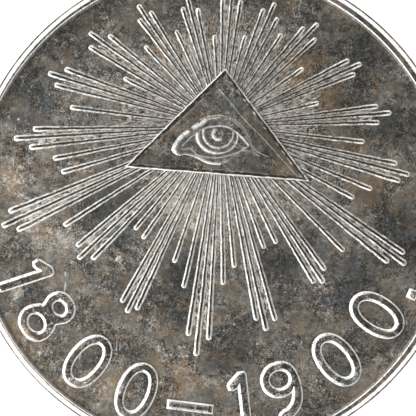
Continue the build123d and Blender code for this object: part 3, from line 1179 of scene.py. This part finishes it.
class AddTriangle(bpy.types.Operator):
    """Model the triangle with its raised border and its fine lines"""

    bl_idname = "medal.add_triangle"
    bl_label = "Triangle"

    def execute(self, context):
        scene = context.scene
        sizes = scene.medal_triangle
        centre = glory_middle(scene)
        radius = sizes.height / 1.5
        sunk = 0.02 * MM
        plate = add_object(bpy.ops.mesh.primitive_circle_add, vertices=3, radius=radius, fill_type="NGON")
        edit(plate)
        bpy.ops.mesh.select_all(action="SELECT")
        stretch(sizes.base / (radius * math.sqrt(3.0)), 1.0)
        shift = centre + Vector((0.0, sizes.height / 3 - sizes.drop, -sunk))
        move(*shift)
        leave_edit_mode()
        corners = places_of(plate)[:, :2]
        edit(plate)
        pick(plate, "FACE")
        lip = 0.015 * MM
        rise_on_slope = sizes.outer_slope * 0.8
        steps = (
            (sizes.outer_wall, sizes.panel_height + sizes.border_rise + sunk - rise_on_slope),
            (sizes.outer_slope, rise_on_slope),
            (lip, 0.0),
            (sizes.border_top, 0.0),
            (sizes.inner_slope, -sizes.border_rise),
            (lip, 0.0),
        )
        inset = 0.0
        rings = []
        for inward, upward in steps:
            bpy.ops.mesh.inset(thickness=inward)
            move(z=upward)
            inset += inward
            rings.append(inset)
        pick(plate, "EDGE", lambda edge: edge.calc_length() > MM)
        bpy.ops.mesh.subdivide(number_cuts=sizes.cuts)
        leave_edit_mode()
        panel = field_height(scene.medal_disc) + sizes.panel_height
        inside = depth_inside(places_of(plate)[:, :2], corners)
        beaded = mottle(places_of(plate), 0.22 * MM)
        dull = np.interp(inside, rings, (0.15, 0.45, 1.0, 1.0, 0.8, 0.0))
        add_values(plate, "dull", dull * np.clip(0.95 + 1.1 * beaded, 0.25, 1.0))
        stray(plate, sizes.wobble, 0.25 * MM)
        hand_over(plate, "triangle", silver("silver_panel", scene, thin=-0.02), 20.0)
        lines = [ridge(smooth_line(points), 0.06 * MM, 0.016 * MM, panel) for points in PANEL_LINES]
        joined = join(lines)
        stray(joined, 0.02 * MM, 0.3 * MM)
        hand_over(joined, "panel_lines", silver("silver_lines", scene, thin=0.05, rub_and_highlight=0.35), 80.0)
        return {"FINISHED"}


class AddEye(bpy.types.Operator):
    """Sculpt the lids, the iris and the pupil on a fine grid"""

    bl_idname = "medal.add_eye"
    bl_label = "Eye"

    def execute(self, context):
        scene = context.scene
        panel = field_height(scene.medal_disc) + scene.medal_triangle.panel_height
        cell = scene.medal_eye.cell
        low, high = (Vector(corner) for corner in EYE_GRID)
        size = (high - low) * MM
        middle = (low + high) / 2 * MM
        eye = add_object(
            bpy.ops.mesh.primitive_grid_add,
            (middle.x, middle.y + scene.medal_disc.middle_y, panel),
            x_subdivisions=round(size.x / cell),
            y_subdivisions=round(size.y / cell),
            size=1.0,
        )
        eye.scale = (size.x, size.y, 1.0)
        apply_place()
        places = places_of(eye)
        points = (places[:, :2] - (0.0, scene.medal_disc.middle_y)) / MM
        height, wear_and_highlight = self.relief(scene, points)
        sunk = 0.012 * MM
        places[:, 2] += height * MM - sunk
        set_places(eye, places)
        add_values(eye, "wear_and_highlight", wear_and_highlight)
        edit(eye)
        pick(eye, "FACE", lambda face: all(corner.co.z < panel - sunk / 2 for corner in face.verts))
        bpy.ops.mesh.delete(type="FACE")
        leave_edit_mode()
        hand_over(eye, "eye", silver("silver_eye", scene, rub_and_highlight=0.2), 60.0)
        return {"FINISHED"}

    def relief(self, scene, points):
        """Height over the panel in millimetres, and how bright each point is, from rubbed wear and painted
        highlights.
        """
        sizes = scene.medal_eye
        lid = sizes.lid_height / MM
        white = sizes.white_height / MM
        ring = sizes.ring_height / MM
        x, y = points.T
        mass = depth_inside(points, np.vstack([smooth_line(BROW)[:-1], smooth_line(CHEEK)[:-1]]))
        gap = depth_inside(points, np.vstack([smooth_line(UPPER_LID)[:-1], smooth_line(LOWER_LID)[:-1]]))
        upper = away_from(points, smooth_line(UPPER_LID))
        lower = away_from(points, smooth_line(LOWER_LID))
        under = away_from(points, smooth_line(UNDER_LID))
        crease = away_from(points, smooth_line(CREASE))
        second = away_from(points, smooth_line(SECOND_CREASE))

        speckle = rise(mottle(np.pad(points, ((0, 0), (0, 1))), 0.0625), -0.35, 0.2)
        left = rise(-x, 0.5, 1.3) * rise(y, 2.9, 3.3)
        right_foot = rise(x, 0.3, 1.2) * rise(-y, -3.6, -3.3)
        height = lid * rise(mass, 0.0, 0.26 + 0.26 * left + 0.4 * right_foot)
        height += 0.014 * crest(crease, 0.045) + 0.012 * crest(second, 0.045)
        height -= 0.018 * crest(crease - 0.12, 0.06) * (mass > 0.1)
        height += 0.02 * crest(upper - 0.06, 0.06) + 0.014 * crest(lower, 0.06)

        iris_x, iris_y, iris_radius = IRIS
        inner_x, inner_y, inner_radius = INNER_IRIS
        pupil_x, pupil_y, pupil_radius = PUPIL
        iris_away = np.hypot((x - iris_x) / 1.17, y - iris_y)
        inner_away = np.hypot(x - inner_x, y - inner_y)
        pupil_away = np.hypot(x - pupil_x, y - pupil_y)
        to_left = rise((iris_x - x) - (y - iris_y) * 0.3, -0.3, 1.0)
        dome = 0.04 * np.clip(1.0 - (iris_away / 1.7) ** 2, 0.0, 1.0)
        outer_ring = crest(iris_away - iris_radius, 0.035 + 0.045 * to_left)
        outer_ring *= rise(iris_y - y, -0.35, 0.0)
        inner_ring = crest(inner_away - inner_radius, 0.045 + 0.015 * to_left)
        pupil_ring = crest(pupil_away - pupil_radius, 0.08)
        eyeball = white + dome + ring * (outer_ring + 0.8 * inner_ring) + 0.02 * pupil_ring
        opened = rise(gap, -0.02, 0.06)
        height = height * (1.0 - opened) + eyeball * opened

        # Painted light: the rings' highlight is brighter towards the left, where the light falls.
        lit = 0.6 + 0.4 * to_left
        # Lid edges rubbed bright, and a painted highlight on the left half of the fold under the lower lid.
        edge = crest(upper - 0.01, 0.03) * 0.45 + crest(lower, 0.03) * 0.45
        edge += crest(under, 0.06) * 0.9 * speckle * rise(-x, -0.7, 0.2)
        wear_and_highlight = edge * (mass > 0.0)
        # Painted highlight: a crescent on the lower left side of the pupil's ring.
        crescent = rise((pupil_x - x) - 0.7 * (y - pupil_y), -0.15, 0.2)
        rings = outer_ring * lit + inner_ring * 0.9 * lit + pupil_ring * crescent
        wear_and_highlight = np.maximum(wear_and_highlight, opened * rings)
        wear_and_highlight = np.maximum(wear_and_highlight, (0.45 * crest(crease, 0.03) + 0.35 * crest(second, 0.03)) * (mass > 0.0))
        # Painted highlights along the lines that the table gives.
        for width, strength, line in EYE_LIGHTS:
            near = away_from(points, smooth_line(line))
            wear_and_highlight = np.maximum(wear_and_highlight, strength * crest(near, width) * (0.5 + 0.5 * speckle))
        return height, np.clip(wear_and_highlight, 0.0, 1.0)


class AddDings(bpy.types.Operator):
    """Model one low burr and copy it wherever the face is dinged or scratched"""

    bl_idname = "medal.add_dings"
    bl_label = "Dings"

    def execute(self, context):
        scene = context.scene
        level = field_height(scene.medal_disc)
        burr = add_object(bpy.ops.mesh.primitive_uv_sphere_add, segments=10, ring_count=6, radius=0.5)
        burrs = []
        for across, up, run, breadth, direction in DINGS:
            at = Vector((across * MM, up * MM + scene.medal_disc.middle_y, level))
            size = Matrix.Diagonal((run * MM, breadth * MM, breadth * MM * 0.5, 1.0))
            burrs.append(copy_to(burr, Matrix.Translation(at) @ turned(direction) @ size))
        discard(burr)
        joined = join(burrs)
        stray(joined, 0.04 * MM, 0.2 * MM)
        hand_over(joined, "dings", silver("silver_dings", scene, thin=0.1, rub_and_highlight=0.8), 80.0)
        return {"FINISHED"}


class AddNumerals(bpy.types.Operator):
    """Draw each numeral once and copy it along the arc"""

    bl_idname = "medal.add_numerals"
    bl_label = "Numerals"

    def execute(self, context):
        scene = context.scene
        sizes = scene.medal_numerals
        disc = scene.medal_disc
        patterns = {
            "0": self.zero(),
            "1": self.one(),
            "8": self.eight(),
            "9": self.nine(),
            "-": self.bar(2.24, 0.15),
            ".": self.bar(0.17, 0.17),
        }
        cast = {}
        for character, splines in patterns.items():
            cast[character] = self.cast(context, splines, sizes)
        placed = []
        for character, direction, radius in NUMERALS:
            angle = math.radians(direction)
            away = radius * MM
            at = Vector((away * math.cos(angle), disc.middle_y + away * math.sin(angle), field_height(disc)))
            placed.append(copy_to(cast[character], Matrix.Translation(at) @ turned(direction + 90.0)))
        for pattern in cast.values():
            discard(pattern)
        # Painted shade: over this height the numerals' slopes that face right stay dark.
        right_shade_above = field_height(disc) + 0.7 * sizes.relief
        finish = silver(
            "silver_numerals", scene, thin=-0.1, rub_and_highlight=0.95, right_shade_above=right_shade_above, steep=0.955, bare=0.7
        )
        hand_over(join(placed), "numerals", finish, 50.0)
        return {"FINISHED"}

    def oval(self, width, height, middle, fullness=1.1):
        """Four points of an oval, whose sides are flatter than an ellipse's if its fullness is over 1."""
        reach = 0.5523 * fullness
        points = []
        for across, up, out_x, out_y in ((0, 1, -1, 0), (-1, 0, 0, -1), (0, -1, 1, 0), (1, 0, 0, 1)):
            x, y = across * width / 2, middle + up * height / 2
            step = (out_x * reach * width / 2, out_y * reach * height / 2)
            points.append(((x, y), (x - step[0], y - step[1]), (x + step[0], y + step[1])))
        return points

    def zero(self):
        """The crown of one tall loop."""
        return [self.oval(1.82, 3.0, 0.0), self.oval(1.5, 2.68, 0.0)]

    def one(self):
        """The crown of an upright stem with a short flag that slopes down to the left."""
        return [[
            (0.33, 1.47), (0.54, 1.48), (0.57, 1.44), (0.57, 1.3), (0.57, -1.3), (0.57, -1.44),
            (0.54, -1.48), (0.4, -1.48), (0.37, -1.44), (0.37, -1.3), (0.37, 1.0), (0.37, 1.14),
            (0.3, 1.09), (-0.03, 0.84), (-0.11, 0.81), (-0.2, 0.83), (-0.23, 0.94), (-0.18, 1.03),
        ]]

    def eight(self):
        """The crowns of a smaller loop over a larger one."""
        outline = [
            (0.0, 1.5), (-0.54, 1.32), (-0.75, 0.82), (-0.59, 0.34), (-0.53, 0.12), (-0.68, -0.12),
            (-0.88, -0.74), (-0.64, -1.31), (0.0, -1.51), (0.64, -1.31), (0.88, -0.74),
            (0.68, -0.12), (0.53, 0.12), (0.59, 0.34), (0.75, 0.82), (0.54, 1.32),
        ]
        return [("SMOOTH", outline), self.oval(1.16, 1.02, 0.81, 1.0), self.oval(1.42, 1.2, -0.74, 1.0)]

    def nine(self):
        """The crown of a loop with a tail that sweeps down from its right side to the lower left."""
        outline = [
            (0.0, 1.48), (-0.64, 1.24), (-0.9, 0.66), (-0.66, 0.04), (0.0, -0.19), (0.42, -0.07),
            (0.62, 0.06), (0.61, -0.24), (0.38, -0.78), (-0.03, -1.12), (-0.52, -1.26), (-0.6, -1.37),
            (-0.52, -1.48), (0.08, -1.35), (0.56, -0.96), (0.83, -0.3), (0.91, 0.5), (0.7, 1.2),
        ]
        return [("SMOOTH", outline), self.oval(1.46, 1.34, 0.65, 1.0)]

    def bar(self, width, height):
        """The crown of a level bar."""
        x, y = width / 2, height / 2
        near = 0.92 * x
        return [[(x, y), (x, -y), (near, -y), (-near, -y), (-x, -y), (-x, y), (-near, y), (near, y)]]

    def side_height(self, round_height):
        """The height of a stroke's side, gentle at its top and steep at its foot, from a round side's."""
        if round_height <= 0.0:
            return round_height
        outward = math.sqrt(max(0.0, 1.0 - round_height**2))
        foot = 0.15
        drop = 0.6 * outward**1.2 + 0.4 * outward**4
        return foot + (1.0 - foot) * (1.0 - drop)

    def cast(self, context, splines, sizes):
        """A crown with sides that slope outward, as a closed mesh whose lower half is in the disc."""
        drawn = add_object(bpy.ops.curve.primitive_bezier_circle_add, radius=MM)
        drawn.data.dimensions = "2D"
        drawn.data.fill_mode = "BOTH"
        drawn.data.splines.clear()
        for points in splines:
            spline = drawn.data.splines.new("BEZIER")
            smooth = points[0] == "SMOOTH"
            points = points[1] if smooth else points
            spline.bezier_points.add(len(points) - 1)
            spline.use_cyclic_u = True
            for knot, point in zip(spline.bezier_points, points):
                if isinstance(point[0], tuple):
                    place, before, after = point
                    knot.handle_left_type = knot.handle_right_type = "FREE"
                    knot.co = (place[0] * MM, place[1] * MM, 0.0)
                    knot.handle_left = (before[0] * MM, before[1] * MM, 0.0)
                    knot.handle_right = (after[0] * MM, after[1] * MM, 0.0)
                else:
                    knot.co = (point[0] * MM, point[1] * MM, 0.0)
                    knot.handle_left_type = knot.handle_right_type = "AUTO" if smooth else "VECTOR"
        drawn.data.resolution_u = 10
        drawn.data.bevel_depth = sizes.slope
        drawn.data.bevel_resolution = 6
        drawn.data.extrude = 0.0
        only(drawn)
        bpy.ops.object.convert(target="MESH")
        shape = context.object
        for corner in shape.data.vertices:
            corner.co.z = self.side_height(corner.co.z / sizes.slope) * sizes.relief
        edit(shape)
        bpy.ops.mesh.select_all(action="SELECT")
        bpy.ops.mesh.remove_doubles(threshold=MICRON)
        face_outwards()
        leave_edit_mode()
        return shape


class SetStage(bpy.types.Operator):
    """Lay out the floor, the soft light and the camera"""

    bl_idname = "medal.set_stage"
    bl_label = "Floor, light and camera"

    def execute(self, context):
        scene = context.scene
        stage = scene.medal_stage
        floor = add_object(bpy.ops.mesh.primitive_plane_add, (0.0, 0.0, -0.02 * MM), size=stage.floor_size)
        apply_place()
        floor.name = floor.data.name = "floor"
        paper = bpy.data.materials.new("white_paper")
        paper.use_nodes = True
        surface = paper.node_tree.nodes["Principled BSDF"]
        surface.inputs["Base Color"].default_value = (0.92, 0.92, 0.92, 1.0)
        surface.inputs["Roughness"].default_value = 0.9
        surface.inputs["Emission Color"].default_value = (1.0, 1.0, 1.0, 1.0)
        surface.inputs["Emission Strength"].default_value = 0.6
        floor.data.materials.append(paper)

        world = bpy.data.worlds.new("soft_studio")
        world.use_nodes = True
        scene.world = world
        tree = world.node_tree
        sky = tree.nodes["Background"]
        split = add_node(tree, "ShaderNodeSeparateXYZ")
        tree.links.new(add_node(tree, "ShaderNodeTexCoord").outputs["Generated"], split.inputs["Vector"])
        raised = sums(split.outputs["Z"], times(split.outputs["X"], stage.tilt))
        fall = between(raised, 0.45, 0.93, 1.0, 0.0)
        side = between(split.outputs["X"], -0.9, 0.9, stage.horizon_left, stage.horizon_right)
        tree.links.new(sums(times(fall, side), stage.zenith), sky.inputs["Strength"])
        sky.inputs["Color"].default_value = (1.0, 0.995, 0.98, 1.0)

        aim = Vector((stage.view_x, stage.view_y, field_height(scene.medal_disc)))
        upper_left = Vector((-0.1, -0.07, 0.16))
        softbox = add_object(bpy.ops.object.light_add, aim + upper_left, type="AREA")
        softbox.name = "left_softbox"
        softbox.data.shape = "RECTANGLE"
        softbox.data.size = 0.14
        softbox.data.size_y = 0.2
        softbox.data.energy = stage.side_light
        softbox.rotation_euler = (aim - softbox.location).to_track_quat("-Z", "Y").to_euler()

        view = bpy.data.cameras.new("camera")
        view.lens = stage.lens
        view.sensor_width = 36.0
        camera = bpy.data.objects.new("camera", view)
        scene.collection.objects.link(camera)
        far = stage.view_width * stage.lens / view.sensor_width
        camera.location = aim + Vector((0.0, 0.0, far))
        camera.rotation_euler = (0.0, 0.0, stage.turn)
        view.clip_start = far * 0.1
        view.clip_end = 10.0
        scene.camera = camera
        scene.view_settings.view_transform = "Standard"
        return {"FINISHED"}


class MedalPanel(bpy.types.Panel):
    """Lists the medal's pieces and sizes"""

    bl_idname = "VIEW3D_PT_medal"
    bl_label = "Medal"
    bl_space_type = "VIEW_3D"
    bl_region_type = "UI"
    bl_category = "Medal"

    def draw(self, context):
        layout = self.layout
        for operator in OPERATORS:
            layout.operator(operator.bl_idname)
        for name, group in GROUPS.items():
            box = layout.box()
            sizes = getattr(context.scene, name)
            for prop in group.__annotations__:
                box.prop(sizes, prop)


GROUPS = {
    "medal_disc": MedalDisc,
    "medal_glory": MedalGlory,
    "medal_triangle": MedalTriangle,
    "medal_eye": MedalEye,
    "medal_numerals": MedalNumerals,
    "medal_finish": MedalFinish,
    "medal_stage": MedalStage,
}
OPERATORS = (SetStage, AddDisc, AddEyelet, AddGlory, AddTriangle, AddEye, AddNumerals, AddDings)


def register():
    """Make the sizes, operators and panel known."""
    for name, group in GROUPS.items():
        bpy.utils.register_class(group)
        setattr(bpy.types.Scene, name, PointerProperty(type=group))
    for kind in (*OPERATORS, MedalPanel):
        bpy.utils.register_class(kind)


def unregister():
    """Take the panel, operators and sizes away again."""
    for kind in (MedalPanel, *reversed(OPERATORS)):
        bpy.utils.unregister_class(kind)
    for name, group in reversed(GROUPS.items()):
        delattr(bpy.types.Scene, name)
        bpy.utils.unregister_class(group)


def main():
    """Make the sizes, operators and panel known, then every piece in order."""
    register()
    bpy.ops.medal.set_stage()
    bpy.ops.medal.add_disc()
    bpy.ops.medal.add_eyelet()
    bpy.ops.medal.add_glory()
    bpy.ops.medal.add_triangle()
    bpy.ops.medal.add_eye()
    bpy.ops.medal.add_numerals()
    bpy.ops.medal.add_dings()


if __name__ == "__main__":
    main()
